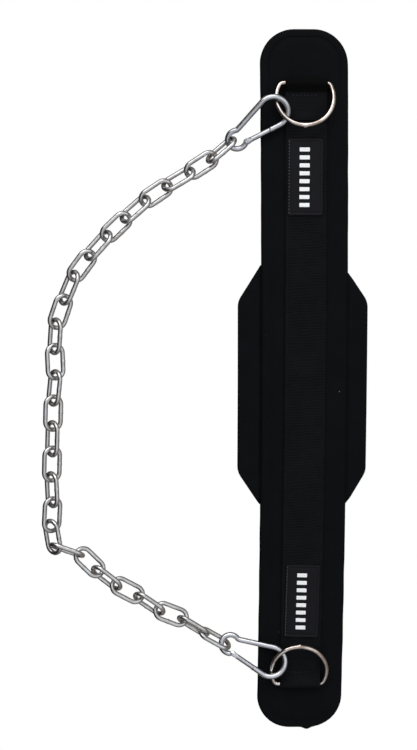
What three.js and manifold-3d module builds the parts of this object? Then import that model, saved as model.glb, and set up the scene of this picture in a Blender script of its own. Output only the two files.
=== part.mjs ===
// Dip belt: a padded waist belt with a webbing strap, two D-rings, two snap hooks and a chain.
// Millimetres, +Z up. The belt lies flat, its long axis along Y, its underside on Z = 0.
// The origin is the middle of the underside. The chain lies on the -X side, on the same surface.
import * as THREE from 'three';
import { mergeVertices } from 'three/addons/utils/BufferGeometryUtils.js';
import Module from 'manifold-3d';

const wasm = await Module();
wasm.setup();

// Padded band
const beltLength = 812;
const bandWidth = 100;
const endRadius = 39;
const rimWidth = 9.5;
const rimThickness = 8;
const padThickness = 9;
const rimRoll = 3;
const panelRoll = 1.2;
const beltBow = 3.4;

// Wings: how far each reaches out, and how far it runs up and down the band
const wingReachLeft = 26.5;
const wingReachRight = 22.5;
const wingLeftUp = 141;
const wingLeftDown = 138.5;
const wingRightUp = 132.5;
const wingRightDown = 137.5;
const wingOuterHalf = 99;
const wingCorner = 22;
const wingThickness = 8;
const wingRoll = 2.6;

// Webbing strap and its stitched loops
const webbingWidth = 47.5;
const webbingThickness = 2.4;
const webbingOffset = 0.6;
const webbingSkew = 0.0031;
const barSpan = 694.5;
const barSpanShift = -2.2;
const lapLength = 41;
const foldTurn = 120;
const tipReach = 12;
const tipTaper = 3;

// Label patches
const labelWidth = 40;
const labelLength = 86.5;
const labelThickness = 1.4;
const labelCorner = 1.5;
const labelTopY = 240.2;
const labelBottomY = -251.2;
const labelTopShift = -1.1;
const labelBottomShift = 0.4;
const labelBottomTurn = -1.4;

// D-rings
const ringWire = 5.2;
const ringRadius = 32.2;
const ringDepth = 49.2;
const ringCorner = 5.2;
const ringShift = -1.8;

// Snap hooks
const hookWire = 6.4;
const hookEyeRadius = 10.8;
const hookBowRadius = 17;
const hookReach = 51;
const hookNeckAngle = 54;
const gateLength = 29.8;
const gateWire = 5.8;
const tongueThickness = 2.6;
const tongueRadius = 3.1;
const tongueRoom = 1.3;
const cheekThickness = 1.4;
const cheekHalf = 2.2;
const cheekOverlap = 2;
const gateSetback = 1.2;
const pinDiameter = 2.4;
const lap = 2;

// Chain
const linkWire = 5.6;
const linkLength = 44;
const linkWidth = 24.4;
const linkBend = (linkWidth - linkWire) / 2;

// Clearances
const gap = 0.3;
const hookSeatGap = 0.5;
const ringSeatGap = 0.6;

// Where each hook lies: its eye, and its heading and roll in degrees.
const hookTopPlace = { x: -75.1, y: 282.3, eyeHeight: 10.8, heading: 37, roll: 17 };
const hookBottomPlace = { x: -81.5, y: -302.6, eyeHeight: 11.3, heading: -21.5, roll: -13 };

// The chain's route in plan: where each link meets the next, from the upper hook's eye to the lower's.
const chainRoute = [
  [-83, 279], [-103, 262], [-128, 246], [-155, 230], [-179, 214], [-202, 194], [-223, 174],
  [-243, 152], [-261, 128], [-272, 102], [-282, 73], [-284, 46], [-283, 14], [-286, -14],
  [-287, -45], [-288, -73], [-289, -105], [-288, -132], [-290, -165], [-287, -184], [-256, -195],
  [-236, -215], [-216, -231], [-188, -246], [-165, -262], [-137, -273], [-113, -288], [-87, -303],
];

// The links lie low and lean over by turns, each about its own run, in degrees. Before the chain's sharp
// turn the low ones are even, and after it odd. The links listed apart lean as their neighbours make them.
const lowLean = 27;
const highLean = -49;
const turnLink = 20;
const leansApart = { 1: -65, 19: -36, 20: -68, 26: -60, 27: 75 };

// Heights that stack on one another
const webbingBase = padThickness + gap;
const webbingTop = webbingBase + webbingThickness;
const lapTop = webbingTop + webbingThickness;
const barClear = ringWire / 2 + gap;
const barHeight = webbingTop + barClear;
const labelBase = webbingTop + gap;
const barY = (end) => (end * barSpan) / 2 + barSpanShift;

const rad = THREE.MathUtils.degToRad;
const bowX = (y) => beltBow * (1 - (2 * y / beltLength) ** 2);
const webbingX = (y) => bowX(y) + webbingOffset + webbingSkew * y;

// Solids
function bare(geometry) {
  const g = geometry.clone();
  g.deleteAttribute('normal');
  g.deleteAttribute('uv');
  return mergeVertices(g, 1e-4);
}

function toSolid(geometry) {
  const g = bare(geometry);
  const vertProperties = new Float32Array(g.attributes.position.array);
  const triVerts = new Uint32Array(g.index.array);
  return new wasm.Manifold(new wasm.Mesh({ numProp: 3, vertProperties, triVerts }));
}

function toGeometry(solid) {
  const mesh = solid.getMesh();
  const g = new THREE.BufferGeometry();
  g.setAttribute('position', new THREE.BufferAttribute(new Float32Array(mesh.vertProperties), 3));
  g.setIndex(new THREE.BufferAttribute(new Uint32Array(mesh.triVerts), 1));
  g.computeVertexNormals();
  return g;
}

function placed(geometry, x, y, z) {
  return geometry.clone().translate(x, y, z);
}

// A plate with rolled upper and lower edges. The outline is its widest section.
function rolledPad(points, thickness, roll, steps) {
  const shape = new THREE.Shape(points.map(([x, y]) => new THREE.Vector2(x, y)));
  const bevel = { bevelThickness: roll, bevelSize: roll, bevelOffset: -roll, bevelSegments: steps };
  const options = { depth: thickness - 2 * roll, ...bevel };
  return new THREE.ExtrudeGeometry(shape, options).translate(0, 0, roll);
}

function arc(cx, cy, radius, from, to, count) {
  const points = [];
  for (let i = 0; i <= count; i += 1) {
    const a = rad(from + ((to - from) * i) / count);
    points.push([cx + radius * Math.cos(a), cy + radius * Math.sin(a)]);
  }
  return points;
}

function along(from, to, count) {
  const points = [];
  for (let i = 1; i < count; i += 1) {
    points.push([from[0] + ((to[0] - from[0]) * i) / count, from[1] + ((to[1] - from[1]) * i) / count]);
  }
  return points;
}

// The band's rounded outline, drawn in from its edge, counterclockwise, with the belt's slight bow.
function bandOutline(inset) {
  const w = bandWidth / 2 - inset;
  const h = beltLength / 2 - inset;
  const r = endRadius - inset;
  const right = [[w, -h + r], [w, h - r]];
  const left = [[-w, h - r], [-w, -h + r]];
  return [
    right[0], ...along(right[0], right[1], 12), ...arc(w - r, h - r, r, 0, 90, 8),
    ...arc(-w + r, h - r, r, 90, 180, 8), ...along(left[0], left[1], 12),
    ...arc(-w + r, -h + r, r, 180, 270, 8), ...arc(w - r, -h + r, r, 270, 360, 8).slice(0, -1),
  ].map(([x, y]) => [x + bowX(y), y]);
}

function bandGeometry() {
  const rim = rolledPad(bandOutline(0), rimThickness, rimRoll, 3);
  const panelThickness = padThickness - rimRoll;
  const panel = placed(rolledPad(bandOutline(rimWidth), panelThickness, panelRoll, 2), 0, 0, rimRoll);
  return toGeometry(toSolid(rim).add(toSolid(panel)));
}

// The upper half of a wing's edge: from its middle, round the outer corner and in to the band.
function wingEdge(reach, run) {
  const inner = bandWidth / 2 + gap;
  const outer = inner + reach;
  const turn = THREE.MathUtils.radToDeg(Math.atan2(reach, run - wingOuterHalf));
  const cy = wingOuterHalf - wingCorner * Math.tan(rad(turn) / 2);
  const straight = [[outer, 0], ...along([outer, 0], [outer, cy], 3)];
  return [...straight, ...arc(outer - wingCorner, cy, wingCorner, 0, turn, 4), [inner, run]];
}

// A wing beside the band, side -1 left or 1 right.
function wingGeometry(side, reach, up, down) {
  const inner = bandWidth / 2 + gap;
  const upper = wingEdge(reach, up);
  const seam = along([inner, up], [inner, -down], 8);
  const lower = wingEdge(reach, down).slice(1).reverse().map(([x, y]) => [x, -y]);
  const outline = [...upper, ...seam, ...lower].map(([x, y]) => [side * x + bowX(y), y]);
  if (side < 0) outline.reverse();
  return rolledPad(outline, wingThickness, wingRoll, 3);
}

// A side view, in Y and Z, drawn out across the strap and grown sideways by a margin.
function acrossStrap(points, margin) {
  const shape = new THREE.Shape(points.map(([a, b]) => new THREE.Vector2(a, b)));
  const g = new THREE.ExtrudeGeometry(shape, { depth: webbingWidth + 2 * margin, bevelEnabled: false });
  const p = g.attributes.position;
  for (let i = 0; i < p.count; i += 1) {
    const [a, b, c] = [p.getX(i), p.getY(i), p.getZ(i)];
    p.setXYZ(i, c - webbingWidth / 2 - margin + webbingX(a), a, b);
  }
  return g;
}

// The folded end of the strap: it wraps the D-ring's bar and is stitched down.
function loopSolid(end) {
  const y = barY(end);
  const tip = y - end * tipReach;
  const lapEnd = y - end * lapLength;
  const root = lapEnd - end * 3 * webbingThickness;
  const aroundBar = ([a, b]) => [y + end * a, barHeight + b];
  const fold = arc(0, 0, barClear + webbingThickness, -90, foldTurn, 14).map(aroundBar);
  const profile = [
    [root, webbingBase], ...fold, [tip, lapTop + gap], [tip - end * tipTaper, lapTop],
    [lapEnd, lapTop], [lapEnd - end, webbingTop], [root, webbingTop],
  ];
  const bore = arc(0, 0, barClear, -90, foldTurn, 12).map(aroundBar);
  const mouth = [...bore, [tip + end, webbingTop + gap], [tip + end, webbingTop]];
  return toSolid(acrossStrap(profile, 0)).subtract(toSolid(acrossStrap(mouth, 1)));
}

// The strap: its flat run, which follows the belt's bow, and the two folded ends.
function webbingGeometry() {
  const half = webbingWidth / 2;
  const reach = lapLength + 2 * webbingThickness;
  const [low, high] = [barY(-1) + reach, barY(1) - reach];
  const rows = [low, ...along([low, 0], [high, 0], 14).map(([y]) => y), high];
  const right = rows.map((y) => new THREE.Vector2(webbingX(y) + half, y));
  const left = rows.map((y) => new THREE.Vector2(webbingX(y) - half, y)).reverse();
  const options = { depth: webbingThickness, bevelEnabled: false };
  const run = new THREE.ExtrudeGeometry(new THREE.Shape([...right, ...left]), options);
  const flat = toSolid(placed(run, 0, 0, webbingBase));
  return toGeometry(flat.add(loopSolid(1)).add(loopSolid(-1)));
}

function labelGeometry() {
  const w = labelWidth / 2;
  const h = labelLength / 2;
  const r = labelCorner;
  const outline = [
    ...arc(w - r, h - r, r, 0, 90, 3), ...arc(-w + r, h - r, r, 90, 180, 3),
    ...arc(-w + r, -h + r, r, 180, 270, 3), ...arc(w - r, -h + r, r, 270, 360, 3),
  ];
  return rolledPad(outline, labelThickness, gap, 1);
}

// A wire's centre line: the curve passes through its points at even steps.
class WireLine extends THREE.CatmullRomCurve3 {
  constructor(points, closed) {
    super(points.map(([x, y]) => new THREE.Vector3(x, y, 0)), closed, 'catmullrom', 0.5);
  }

  getPointAt(u, target) {
    return this.getPoint(u, target);
  }

  getTangentAt(u, target) {
    return this.getTangent(u, target);
  }
}

function closedWire(points, diameter, sides) {
  return new THREE.TubeGeometry(new WireLine(points, true), points.length, diameter / 2, sides, true);
}

function openWire(points, diameter, sides) {
  const circle = arc(0, 0, diameter / 2, 0, 360, sides).slice(0, -1);
  const section = new THREE.Shape(circle.map(([x, y]) => new THREE.Vector2(x, y)));
  const options = { steps: points.length - 1, extrudePath: new WireLine(points, false) };
  return new THREE.ExtrudeGeometry(section, options);
}

// A D-ring in its own plane: the bar's middle at the origin, the bow towards +Y.
function ringGeometry() {
  const depth = ringDepth - ringRadius;
  const barHalf = Math.sqrt((ringRadius - ringCorner) ** 2 - (depth - ringCorner) ** 2);
  const turn = THREE.MathUtils.radToDeg(Math.atan2(ringCorner - depth, barHalf));
  const points = [
    [-barHalf / 3, 0], [barHalf / 3, 0],
    ...arc(barHalf, ringCorner, ringCorner, -90, turn, 3),
    ...arc(0, depth, ringRadius, turn, 180 - turn, 20).slice(1, -1),
    ...arc(-barHalf, ringCorner, ringCorner, 180 - turn, 270, 3),
  ];
  return closedWire(points, ringWire, 8);
}

// A snap hook in its own plane: the eye's centre at the origin, the bow towards +X, the gate on the -Y side.
const neck = rad(hookNeckAngle);
const pivot = new THREE.Vector2(hookEyeRadius * Math.cos(neck), -hookEyeRadius * Math.sin(neck));
const bowOffset = new THREE.Vector2(hookReach - pivot.x, pivot.y);
const flankAngle = Math.atan2(bowOffset.y, bowOffset.x) + Math.asin(hookBowRadius / bowOffset.length());
const flankLength = Math.sqrt(bowOffset.lengthSq() - hookBowRadius ** 2);
const flankEnd = [
  pivot.x + flankLength * Math.cos(flankAngle),
  -pivot.y + flankLength * Math.sin(flankAngle),
];
const bowTurn = THREE.MathUtils.radToDeg(Math.atan2(flankEnd[1], flankEnd[0] - hookReach));

// Shapes near the gate are drawn along it: X from the pivot to the nose, Y into the hook.
function onGate(geometry) {
  return geometry.clone().rotateZ(-flankAngle).translate(pivot.x, pivot.y, 0);
}

function disc(radius, from, to, sides) {
  const round = new THREE.CylinderGeometry(radius, radius, to - from, sides).rotateX(Math.PI / 2);
  return onGate(round.translate(0, 0, (from + to) / 2));
}

function block(x0, x1, y0, y1, z0, z1) {
  const box = new THREE.BoxGeometry(x1 - x0, y1 - y0, z1 - z0);
  return onGate(box.translate((x0 + x1) / 2, (y0 + y1) / 2, (z0 + z1) / 2));
}

function hookGeometry() {
  const toNose = gateLength - lap;
  const nose = [
    pivot.x + toNose * Math.cos(flankAngle),
    pivot.y - toNose * Math.sin(flankAngle),
  ];
  const bow = arc(hookReach, 0, hookBowRadius, -bowTurn, bowTurn, 14);
  const neckPoint = [pivot.x, -pivot.y];
  const eye = arc(0, 0, hookEyeRadius, hookNeckAngle, 360 - hookNeckAngle, 12);
  const points = [nose, ...along(nose, bow[0], 2), ...bow, ...along(flankEnd, neckPoint, 4), ...eye];
  const wire = toSolid(openWire(points, hookWire, 8));
  const half = tongueThickness / 2;
  const room = tongueRadius + tongueRoom;
  const wide = hookWire;
  return toGeometry(wire
    .subtract(toSolid(disc(room, half, wide, 16)))
    .subtract(toSolid(disc(room, -wide, -half, 16)))
    .add(toSolid(disc(tongueRadius, -half, half, 16)))
    .subtract(toSolid(disc(pinDiameter / 2 + gap, -wide, wide, 10)))
    .subtract(toSolid(block(0, gateLength + lap, -gap / 2, wide, -wide, wide))));
}

function gateGeometry() {
  const start = tongueRadius + gateSetback;
  const end = gateLength + lap - gap;
  const r = gateWire / 2;
  const inner = tongueThickness / 2 + gap;
  const outer = inner + cheekThickness;
  const round = new THREE.CylinderGeometry(r, r, end - start, 10).rotateZ(Math.PI / 2);
  const bar = toSolid(onGate(round.translate((start + end) / 2, 0, 0)));
  const lapCut = block(gateLength - lap - gap, end + gap, -gateWire, gap / 2, -gateWire, gateWire);
  let solid = bar.subtract(toSolid(lapCut));
  for (const side of [-1, 1]) {
    const z = [side * inner, side * outer].sort((a, b) => a - b);
    solid = solid
      .add(toSolid(disc(tongueRadius, z[0], z[1], 16)))
      .add(toSolid(block(0, start + cheekOverlap, -cheekHalf, cheekHalf, z[0], z[1])));
  }
  return toGeometry(solid.add(toSolid(disc(pinDiameter / 2, -outer, outer, 10))));
}

function linkGeometry() {
  const half = (linkLength - linkWidth) / 2;
  const points = [...arc(half, 0, linkBend, -90, 90, 6), ...arc(-half, 0, linkBend, 90, 270, 6)];
  return closedWire(points, linkWire, 6);
}

// Materials
const cloth = (color, roughness) => new THREE.MeshStandardMaterial({ color, roughness, metalness: 0 });
const metal = (color, roughness) => new THREE.MeshStandardMaterial({ color, roughness, metalness: 1 });

const belt = new THREE.Group();

function addMesh(parent, name, geometry, material) {
  const mesh = new THREE.Mesh(geometry, material);
  mesh.name = name;
  parent.add(mesh);
  return mesh;
}

// Turns an object so that its own X and Y point along the given directions.
function aim(object, x, y) {
  const z = new THREE.Vector3().crossVectors(x, y);
  object.quaternion.setFromRotationMatrix(new THREE.Matrix4().makeBasis(x, y, z));
}

addMesh(belt, 'belt_band', bandGeometry(), cloth(0x17181c, 0.8));
const wingLeft = wingGeometry(-1, wingReachLeft, wingLeftUp, wingLeftDown);
const wingRight = wingGeometry(1, wingReachRight, wingRightUp, wingRightDown);
addMesh(belt, 'wing_left', wingLeft, cloth(0x17181c, 0.8));
addMesh(belt, 'wing_right', wingRight, cloth(0x17181c, 0.8));
addMesh(belt, 'webbing', webbingGeometry(), cloth(0x1b1c20, 0.85));

const labelTop = addMesh(belt, 'label_top', labelGeometry(), cloth(0x24252c, 0.5));
labelTop.position.set(webbingX(labelTopY) + labelTopShift, labelTopY, labelBase);
const labelBottom = addMesh(belt, 'label_bottom', labelGeometry(), cloth(0x24252c, 0.5));
labelBottom.position.set(webbingX(labelBottomY) + labelBottomShift, labelBottomY, labelBase);
labelBottom.rotation.z = rad(labelBottomTurn);

// How a hook and the D-ring that it holds lie: the hook's bow rests on the stitched lap where the two
// wires cross in plan, and the D-ring leans on the bow there. Each pass brings the angles closer.
const passes = 12;
const halvings = 30;
const firstCrossing = 60;
const lastCrossing = 100;

function settle(place, end) {
  const heading = rad(place.heading);
  const roll = rad(place.roll);
  const eye = new THREE.Vector3(place.x, place.y, place.eyeHeight);
  const bar = new THREE.Vector3(webbingX(barY(end)) + ringShift, barY(end), barHeight);
  const across = new THREE.Vector3(1, 0, 0);
  const up = new THREE.Vector3(0, 0, 1);
  const forward = new THREE.Vector3(Math.cos(heading), Math.sin(heading), 0);
  const left = new THREE.Vector3(-Math.sin(heading), Math.cos(heading), 0);
  const restHeight = lapTop + hookWire / 2 + hookSeatGap;
  let crossing = rad(-firstCrossing * end);
  let lean = 0;
  let u;
  let v;
  let inward;
  for (let pass = 0; pass < passes; pass += 1) {
    const sideways = hookBowRadius * Math.sin(crossing) * Math.sin(roll);
    const run = hookReach + hookBowRadius * Math.cos(crossing);
    const slope = Math.asin((restHeight - place.eyeHeight - sideways) / run);
    u = forward.clone().multiplyScalar(Math.cos(slope)).addScaledVector(up, Math.sin(slope));
    const over = new THREE.Vector3().crossVectors(u, left);
    v = left.clone().multiplyScalar(Math.cos(roll)).addScaledVector(over, Math.sin(roll));
    inward = new THREE.Vector3(0, -end * Math.cos(lean), Math.sin(lean));
    const centre = bar.clone().addScaledVector(inward, ringDepth - ringRadius);
    const onBow = (angle) => eye.clone()
      .addScaledVector(u, hookReach + hookBowRadius * Math.cos(angle))
      .addScaledVector(v, hookBowRadius * Math.sin(angle));
    let [inside, outside] = [0, rad(-lastCrossing * end)];
    for (let halving = 0; halving < halvings; halving += 1) {
      crossing = (inside + outside) / 2;
      const p = onBow(crossing).sub(centre);
      if (Math.hypot(p.x, p.y / Math.cos(lean)) < ringRadius) inside = crossing;
      else outside = crossing;
    }
    const p = onBow(crossing);
    const bowRun = u.clone().multiplyScalar(-Math.sin(crossing)).addScaledVector(v, Math.cos(crossing));
    const spoke = new THREE.Vector3(p.x - centre.x, (p.y - centre.y) / (-end * Math.cos(lean)), 0);
    const ringRun = across.clone().multiplyScalar(-spoke.y).addScaledVector(inward, spoke.x);
    const upright = Math.abs(new THREE.Vector3().crossVectors(bowRun, ringRun).normalize().z);
    const rise = p.z + ((hookWire + ringWire) / 2 + ringSeatGap) / upright - barHeight;
    lean = Math.atan2(rise, Math.abs(bar.y - p.y));
  }
  return { eye, u, v, bar, across, inward };
}

function addHookAndRing(place, end, name) {
  const { eye, u, v, bar, across, inward } = settle(place, end);
  const ring = addMesh(belt, `d_ring_${name}`, ringGeometry(), metal(0xb9aeab, 0.25));
  ring.position.copy(bar);
  aim(ring, across, inward);
  const hook = new THREE.Group();
  hook.position.copy(eye);
  aim(hook, u, v);
  belt.add(hook);
  addMesh(hook, `hook_${name}`, hookGeometry(), metal(0xb4b9c1, 0.32));
  addMesh(hook, `gate_${name}`, gateGeometry(), metal(0xb4b9c1, 0.32));
}

addHookAndRing(hookTopPlace, 1, 'top');
addHookAndRing(hookBottomPlace, -1, 'bottom');

function leanOf(number) {
  const liesLow = (number < turnLink) === (number % 2 === 0);
  return rad(leansApart[number] ?? (liesLow ? lowLean : highLean));
}

// Each link runs between two points of the route and stands on the surface on its lower side.
chainRoute.slice(1).forEach((to, i) => {
  const from = chainRoute[i];
  const lean = leanOf(i + 1);
  const run = new THREE.Vector3(to[0] - from[0], to[1] - from[1], 0).normalize();
  const side = new THREE.Vector3(run.y * Math.cos(lean), -run.x * Math.cos(lean), Math.sin(lean));
  const height = linkBend * Math.abs(Math.sin(lean)) + linkWire / 2;
  const name = `link_${String(i + 1).padStart(2, '0')}`;
  const link = addMesh(belt, name, linkGeometry(), metal(0xa8a9ab, 0.35));
  link.position.set((from[0] + to[0]) / 2, (from[1] + to[1]) / 2, height);
  aim(link, run, side);
});

export default belt;
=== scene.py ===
# Looks of the dip belt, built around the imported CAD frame. Sizes below are in millimetres
# and are turned into metres when a mesh is made.
import math
import random

import bmesh
import bpy
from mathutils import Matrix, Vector, noise


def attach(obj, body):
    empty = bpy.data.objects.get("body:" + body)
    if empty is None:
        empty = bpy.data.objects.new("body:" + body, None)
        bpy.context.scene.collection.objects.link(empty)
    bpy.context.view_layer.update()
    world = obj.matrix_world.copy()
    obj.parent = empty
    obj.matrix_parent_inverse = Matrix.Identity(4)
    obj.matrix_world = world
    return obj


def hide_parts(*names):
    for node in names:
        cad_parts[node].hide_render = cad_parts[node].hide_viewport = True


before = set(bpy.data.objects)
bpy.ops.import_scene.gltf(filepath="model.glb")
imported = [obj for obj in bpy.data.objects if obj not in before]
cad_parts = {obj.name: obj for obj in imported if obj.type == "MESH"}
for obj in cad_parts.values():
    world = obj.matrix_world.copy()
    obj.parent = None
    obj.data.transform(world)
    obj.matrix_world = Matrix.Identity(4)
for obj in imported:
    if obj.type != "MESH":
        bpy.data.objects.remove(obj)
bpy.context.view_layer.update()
random.seed(11)
scene = bpy.context.scene
TAU = 2 * math.pi

# Each wing: how far it reaches out, and how far it runs up and down the belt
WING_RUNS = {"left": (26.5, 141.0, 138.5), "right": (22.5, 132.5, 137.5)}

# Sizes shared with the CAD model
BELT_LENGTH = 812.0
BAND_WIDTH = 100.0
END_RADIUS = 39.0
PAD_THICKNESS = 9.0
BELT_BOW = 3.4
WING_OUTER = 99.0
WING_CORNER = 22.0
WING_THICKNESS = 8.0
WEB_WIDTH = 47.5
WEB_THICKNESS = 2.4
WEB_OFFSET = 0.6
WEB_SKEW = 0.0031
BAR_Y = {"top": 345.05, "bottom": -349.45}
BAR_CLEAR = 2.9
LAP_LENGTH = 41.0
TIP_REACH = 12.0
WEB_BASE = 9.3
WEB_TOP = 11.7
LAP_TOP = 14.1
BAR_HEIGHT = WEB_TOP + BAR_CLEAR
LABEL_BASE = 12.0
RING_WIRE = 5.2
RING_RADIUS = 32.2
RING_DEPTH = 49.2
RING_CORNER = 5.2
RING_SHIFT = -1.8
HOOK_WIRE = 6.4
HOOK_EYE = 10.8
HOOK_BOW = 17.0
HOOK_REACH = 51.0
HOOK_NECK = math.radians(54)
GATE_LENGTH = 29.8
GATE_WIRE = 5.8
GATE_LAP = 2.0
LINK_WIRE = 5.6
LINK_LENGTH = 44.0
LINK_WIDTH = 24.4

# Sizes that only the looks have
ROLL_RADIUS, ROLL_HALF_HEIGHT = 3.6, 4.0
RIM_TOP = 8.1
RIM_STEP = 0.95
SEAM_INSET = 9.3
SEAM_FADES, SEAM_DEEP = 310.0, 370.0
LUMP_PLACE, LUMP_WIDTH, LUMP_REACH = 9.5, 4.5, 2.6
FLAT_WIDTH = 13.5
STRAP_END = 352.0
WING_GAP = 0.35
SKIN_WAVE, SKIN_WAVE_SIZE = 0.18, 40
RIB_PITCH = 3.3
RIB_LEVEL = 0.75
ROLL_SHADE_REACH = 10.5
LABEL_WIDTH, LABEL_LENGTH, LABEL_THICKNESS = 40.0, 86.5, 1.4
LABEL_STITCH_INSET = 1.5
LABEL_STITCH_HEIGHT = 1.42
MARK_COUNT, MARK_PITCH, MARK_START = 8, 8.9, 31.0
MARK_WIDTH, MARK_TALL, MARK_THICKNESS = 11.5, 4.6, 0.22
GATE_START = 4.6
GATE_GAP = 0.25
CHEEK_RADIUS, CHEEK_INSIDE, CHEEK_OUTSIDE = 3.1, 1.6, 3.0
PIN_RADIUS, PIN_HEAD_RADIUS, PIN_HEAD_HEIGHT = 1.1, 1.5, 0.35
FLOOR_SIZE, FLOOR_HEIGHT = 12.0, -0.0004

# Rounds that settle a hook on its ring, and halvings that find where they cross
SETTLE_ROUNDS, HALVINGS = 12, 30

# Where each hook lies: its eye, and its heading and roll in degrees
HOOK_PLACES = {
    "top": {"eye": (-75.1, 282.3, 10.8), "heading": 37.0, "roll": 17.0, "end": 1},
    "bottom": {"eye": (-81.5, -302.6, 11.3), "heading": -21.5, "roll": -13.0, "end": -1},
}
HOOK_SEAT_GAP = 0.5
RING_SEAT_GAP = 0.6

# Each patch: its place along the strap, its shift across it and its turn in degrees
LABEL_SPOTS = {"top": (240.2, -1.1, 0.0), "bottom": (-251.2, 0.4, -1.4)}

# The chain's route in plan: where each link meets the next, from the upper hook's eye to the lower's
CHAIN_ROUTE = [
    (-83, 279), (-103, 262), (-128, 246), (-155, 230), (-179, 214), (-202, 194), (-223, 174),
    (-243, 152), (-261, 128), (-272, 102), (-282, 73), (-284, 46), (-283, 14), (-286, -14),
    (-287, -45), (-288, -73), (-289, -105), (-288, -132), (-290, -165), (-287, -184), (-256, -195),
    (-236, -215), (-216, -231), (-188, -246), (-165, -262), (-137, -273), (-113, -288), (-87, -303),
]

# The links' lean about their own run, in degrees, low and high by turns
LOW_LEAN, HIGH_LEAN, TURN_LINK = 27, -49, 20
LEANS_APART = {1: -65, 19: -36, 20: -68, 26: -60, 27: 75}


def bow_x(y):
    return BELT_BOW * (1 - (2 * y / BELT_LENGTH) ** 2)


def web_x(y):
    return bow_x(y) + WEB_OFFSET + WEB_SKEW * y


def settle(spec):
    """How a hook and its D-ring lie, worked out as in the CAD model."""
    end = spec["end"]
    heading, roll = math.radians(spec["heading"]), math.radians(spec["roll"])
    eye = Vector(spec["eye"])
    bar_y = BAR_Y["top" if end > 0 else "bottom"]
    bar = Vector((web_x(bar_y) + RING_SHIFT, bar_y, BAR_HEIGHT))
    up = Vector((0, 0, 1))
    across = Vector((1, 0, 0))
    forward = Vector((math.cos(heading), math.sin(heading), 0))
    left = Vector((-math.sin(heading), math.cos(heading), 0))
    rest_height = LAP_TOP + HOOK_WIRE / 2 + HOOK_SEAT_GAP
    crossing, lean = math.radians(-60 * end), 0.0
    for _ in range(SETTLE_ROUNDS):
        sideways = HOOK_BOW * math.sin(crossing) * math.sin(roll)
        slope = math.asin((rest_height - eye.z - sideways) / (HOOK_REACH + HOOK_BOW * math.cos(crossing)))
        u = forward * math.cos(slope) + up * math.sin(slope)
        v = left * math.cos(roll) + u.cross(left) * math.sin(roll)
        inward = Vector((0, -end * math.cos(lean), math.sin(lean)))
        centre = bar + inward * (RING_DEPTH - RING_RADIUS)
        inside, outside = 0.0, math.radians(-100 * end)
        for _ in range(HALVINGS):
            crossing = (inside + outside) / 2
            p = eye + u * (HOOK_REACH + HOOK_BOW * math.cos(crossing)) + v * (HOOK_BOW * math.sin(crossing))
            if math.hypot(p.x - centre.x, (p.y - centre.y) / math.cos(lean)) < RING_RADIUS:
                inside = crossing
            else:
                outside = crossing
        bow_run = v * math.cos(crossing) - u * math.sin(crossing)
        spoke = Vector((p.x - centre.x, (p.y - centre.y) / (-end * math.cos(lean))))
        ring_run = inward * spoke.x - across * spoke.y
        upright = abs(bow_run.cross(ring_run).normalized().z)
        rise = p.z + ((HOOK_WIRE + RING_WIRE) / 2 + RING_SEAT_GAP) / upright - BAR_HEIGHT
        lean = math.atan2(rise, abs(bar.y - p.y))
    return {"hook": (eye, u, v), "ring": (bar, across, inward)}


def label_place(y, shift, turn):
    """A patch's own frame, from where it lies on the strap and its turn in degrees."""
    a = math.radians(turn)
    return (web_x(y) + shift, y, LABEL_BASE), (math.cos(a), math.sin(a), 0), (-math.sin(a), math.cos(a), 0)


SETTLED = {name: settle(spec) for name, spec in HOOK_PLACES.items()}
LABEL_PLACES = {name: label_place(*spot) for name, spot in LABEL_SPOTS.items()}


def smooth_step(a, b, v):
    t = min(1.0, max(0.0, (v - a) / (b - a)))
    return t * t * (3 - 2 * t)


# Meshes
def make(name, verts, faces, material, slot, body="belt"):
    """A smooth mesh piece that rides on a body and takes the material it is given; its slot is not used."""
    mesh = bpy.data.meshes.new(name)
    mesh.from_pydata([(x / 1000, y / 1000, z / 1000) for x, y, z in verts], [], faces)
    mesh.validate()
    bm = bmesh.new()
    bm.from_mesh(mesh)
    bmesh.ops.recalc_face_normals(bm, faces=bm.faces)
    bm.to_mesh(mesh)
    bm.free()
    mesh.polygons.foreach_set("use_smooth", [True] * len(mesh.polygons))
    obj = bpy.data.objects.new(name, mesh)
    scene.collection.objects.link(obj)
    obj.data.materials.append(material)
    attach(obj, body)
    return obj


def tube_faces(rows, columns, closed=False):
    """The faces round a tube of rows, which may close on itself end to end."""
    faces = []
    for i in range(rows if closed else rows - 1):
        a = i * columns
        b = ((i + 1) % rows) * columns
        for j in range(columns):
            k = (j + 1) % columns
            faces.append((a + j, a + k, b + k, b + j))
    return faces


def place(verts, where):
    """Points of a piece's own frame, carried to its place: an origin and two directions."""
    o, x, y = Vector(where[0]), Vector(where[1]), Vector(where[2])
    z = x.cross(y)
    return [o + x * a + y * b + z * c for a, b, c in verts]


def arc(cx, cy, r, start, end, count):
    steps = [start + (end - start) * i / count for i in range(count + 1)]
    return [(cx + r * math.cos(math.radians(a)), cy + r * math.sin(math.radians(a))) for a in steps]


def line(a, b, count):
    return [(a[0] + (b[0] - a[0]) * i / count, a[1] + (b[1] - a[1]) * i / count) for i in range(count + 1)]


def rounded(points, reach, count):
    """A polyline whose corners are turned into short curves; straight joins are left alone."""
    out = [points[0]]
    for before, p, after in zip(points, points[1:], points[2:]):
        a, b, c = Vector(before), Vector(p), Vector(after)
        da, dc = (a - b), (c - b)
        if da.length < 1e-6 or dc.length < 1e-6 or da.angle(-dc) < math.radians(20):
            out.append(p)
            continue
        ra, rc = min(reach, da.length * 0.9), min(reach, dc.length * 0.9)
        s, e = b + da.normalized() * ra, b + dc.normalized() * rc
        for i in range(count + 1):
            t = i / count
            q = s * (1 - t) ** 2 + b * 2 * t * (1 - t) + e * t * t
            out.append((q.x, q.y))
    out.append(points[-1])
    return out


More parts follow.
